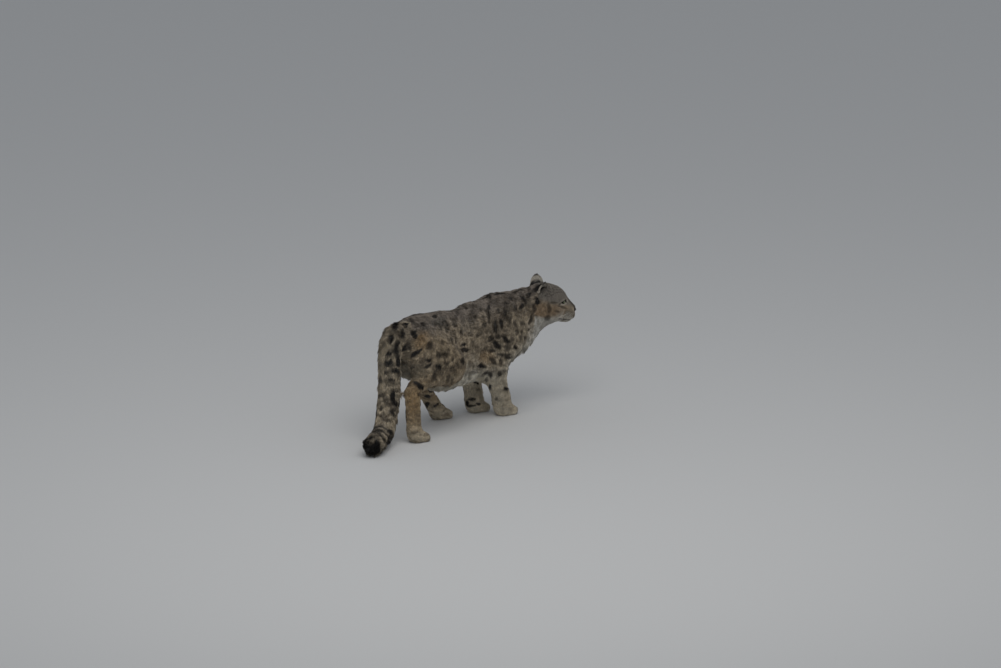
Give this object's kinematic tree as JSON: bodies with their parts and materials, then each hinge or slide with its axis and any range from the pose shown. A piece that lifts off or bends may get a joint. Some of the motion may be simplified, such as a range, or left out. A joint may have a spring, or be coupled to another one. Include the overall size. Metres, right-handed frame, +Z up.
{
  "type": "snow leopard",
  "caption": "Life-size still model of a walking snow leopard in winter coat, head low and turned right, thick tail trailing on the floor.",
  "frame": {"origin": "middle of the outline seen from above, at floor level under the paws and the tail", "axes": "+X the way the animal walks, +Y to its left, +Z up"},
  "size_m": [1.325, 0.332, 0.5727],
  "materials": {
    "coat": "matte",
    "pale_coat": "matte",
    "ear_coat": "matte",
    "eye": "gloss"
  },
  "bodies": {
    "root": {"ear_left": "ear_coat", "ear_right": "ear_coat", "eye_left": "eye", "eye_right": "eye", "forearm_left": "coat", "forearm_right": "coat", "front_paw_left": "coat", "front_paw_right": "coat", "head": "coat", "hind_paw_left": "coat", "hind_paw_right": "coat", "hock_left": "coat", "hock_right": "coat", "neck": "pale_coat", "shoulder_left": "coat", "shoulder_right": "coat", "tail_base": "coat", "tail_middle": "coat", "tail_tip": "coat", "thigh_left": "coat", "thigh_right": "coat", "torso": "coat"}
  },
  "joints": []
}
